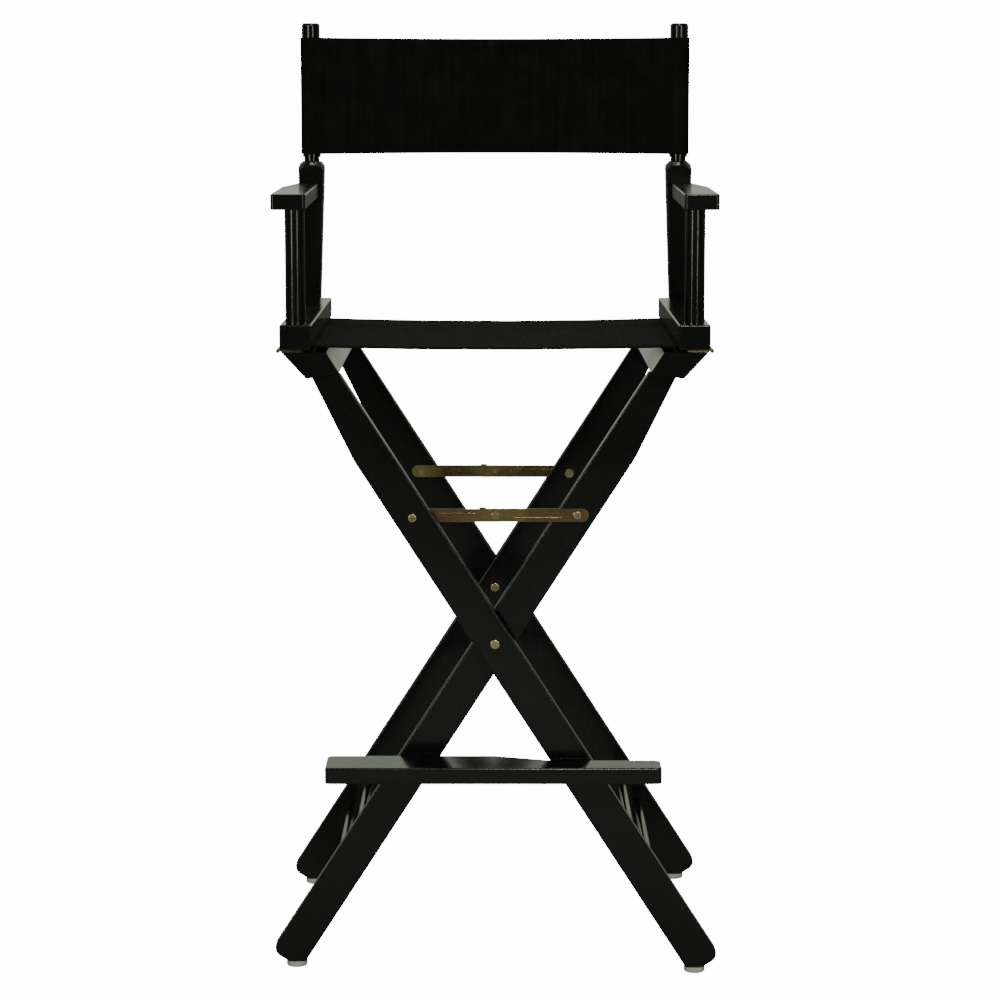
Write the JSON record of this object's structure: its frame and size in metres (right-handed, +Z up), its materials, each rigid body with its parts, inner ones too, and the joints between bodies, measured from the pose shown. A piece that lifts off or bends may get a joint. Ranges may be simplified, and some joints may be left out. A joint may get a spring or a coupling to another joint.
{
  "type": "folding director chair",
  "caption": "Bar-height folding director chair with a crossed leg frame, swing-down footrest, flat arms and a canvas seat and back.",
  "frame": {"origin": "on the floor, at the middle of the chair's width and depth", "axes": "+X towards the right as seen from the front, +Y from the front to the back, +Z up"},
  "size_m": [0.5418, 0.483, 1.156],
  "materials": {
    "lacquer": "black satin lacquer",
    "canvas": "black plain-weave cotton canvas",
    "brass": "brass plated steel",
    "braces": "brass plated stamped steel",
    "glides": "off-white plastic",
    "steel": "plain steel"
  },
  "bodies": {
    "feet": {"left_glides": "glides"},
    "inner_frame": {"inner_front_leg": "lacquer", "inner_rear_leg": "lacquer", "inner_hinge_bar": "lacquer", "inner_upper_stretcher": "lacquer", "inner_lower_stretcher": "lacquer", "left_glide_nails": "steel", "right_lower_hinge_leaves": "brass", "right_lower_leaf_screws": "brass", "right_brace_screws": "brass", "crossing_bolts": "brass", "crossing_nuts": "brass", "crossing_spacers": "brass"},
    "outer_frame": {"outer_front_leg": "lacquer", "outer_rear_leg": "lacquer", "outer_hinge_bar": "lacquer", "outer_upper_stretcher": "lacquer", "outer_lower_stretcher": "lacquer", "right_glides": "glides", "right_glide_nails": "steel", "left_lower_hinge_leaves": "brass", "left_lower_leaf_screws": "brass", "left_brace_screws": "brass", "footrest_peg": "brass"},
    "footrest": {"footrest_board": "lacquer", "footrest_bolt": "brass", "footrest_washer": "brass", "footrest_nut": "brass"},
    "left_braces": {"front_left_brace_link": "braces", "rear_left_brace_link": "braces", "brace_rivet_heads": "braces"},
    "right_braces": {"front_right_brace_link": "braces", "rear_right_brace_link": "braces", "brace_rivet_tails": "braces"},
    "left_side": {"left_seat_rail": "lacquer", "left_back_post": "lacquer", "left_arm_post": "lacquer", "left_armrest": "lacquer", "left_arm_screw": "brass", "left_seat_dowel": "lacquer", "left_seat_hem": "canvas", "left_upper_hinge_leaves": "brass", "left_upper_leaf_screws": "brass", "left_hinge_pins": "brass", "left_back_sleeve": "canvas"},
    "left_seat": {"left_seat_half": "canvas"},
    "left_back": {"left_back_half": "canvas"},
    "right_side": {"right_seat_rail": "lacquer", "right_back_post": "lacquer", "right_arm_post": "lacquer", "right_armrest": "lacquer", "right_arm_screw": "brass", "right_seat_dowel": "lacquer", "right_seat_hem": "canvas", "right_upper_hinge_leaves": "brass", "right_upper_leaf_screws": "brass", "right_hinge_pins": "brass", "right_back_sleeve": "canvas"},
    "right_seat": {"right_seat_half": "canvas"},
    "right_back": {"right_back_half": "canvas"}
  },
  "joints": [
    {"name": "stand_up", "type": "hinge", "parent": "feet", "child": "inner_frame", "pos_m": [-0.254, 0.02045, 0.007], "axis": [0, 1, 0], "range_deg": [-26.5, 0]},
    {"name": "fold", "type": "hinge", "parent": "inner_frame", "child": "outer_frame", "pos_m": [0, 0.02045, 0.41], "axis": [0, 1, 0], "range_deg": [0, 53]},
    {"name": "left_side_hinge", "type": "hinge", "parent": "outer_frame", "child": "left_side", "pos_m": [-0.2582, 0.02045, 0.7637], "axis": [0, 1, 0], "range_deg": [-26.5, 0]},
    {"name": "right_side_hinge", "type": "hinge", "parent": "inner_frame", "child": "right_side", "pos_m": [0.2582, 0.02045, 0.7637], "axis": [0, 1, 0], "range_deg": [0, 26.5]},
    {"name": "left_brace_pivot", "type": "hinge", "parent": "outer_frame", "child": "left_braces", "pos_m": [-0.099, 0.02045, 0.564], "axis": [0, 1, 0], "range_deg": [-104.91, 0]},
    {"name": "right_brace_pivot", "type": "hinge", "parent": "inner_frame", "child": "right_braces", "pos_m": [0.099, 0.02045, 0.564], "axis": [0, 1, 0], "range_deg": [0, 104.91]},
    {"name": "footrest_pivot", "type": "hinge", "parent": "inner_frame", "child": "footrest", "pos_m": [-0.09758, 0.02045, 0.258], "axis": [0, 1, 0], "range_deg": [0, 112.5]},
    {"name": "seat_left_bend", "type": "hinge", "parent": "left_side", "child": "left_seat", "pos_m": [-0.2168, 0.02045, 0.7692], "axis": [0, 1, 0], "range_deg": [-81.55, 0], "deforming": ["left_seat_half"]},
    {"name": "seat_middle_bend", "type": "hinge", "parent": "left_seat", "child": "right_seat", "pos_m": [0, 0.02045, 0.7692], "axis": [0, 1, 0], "range_deg": [0, 163.1], "deforming": ["right_seat_half"]},
    {"name": "back_left_bend", "type": "hinge", "parent": "left_side", "child": "left_back", "pos_m": [-0.226, 0.1975, 1.061], "axis": [0, 0, 1], "range_deg": [0, 79.53], "deforming": ["left_back_half"]},
    {"name": "back_middle_bend", "type": "hinge", "parent": "left_back", "child": "right_back", "pos_m": [0, 0.1975, 1.061], "axis": [0, 0, 1], "range_deg": [-159.07, 0], "deforming": ["right_back_half"]}
  ],
  "couplings": [
    {"joint": "stand_up", "follows": "fold", "ratio": -0.5},
    {"joint": "left_side_hinge", "follows": "fold", "ratio": -0.5},
    {"joint": "right_side_hinge", "follows": "fold", "ratio": 0.5},
    {"joint": "left_brace_pivot", "follows": "fold", "ratio": -1.9795},
    {"joint": "right_brace_pivot", "follows": "fold", "ratio": 1.9795},
    {"joint": "footrest_pivot", "follows": "fold", "ratio": 2.1226},
    {"joint": "seat_left_bend", "follows": "fold", "ratio": -1.5387},
    {"joint": "seat_middle_bend", "follows": "fold", "ratio": 3.0774},
    {"joint": "back_left_bend", "follows": "fold", "ratio": 1.5006},
    {"joint": "back_middle_bend", "follows": "fold", "ratio": -3.0013}
  ]
}
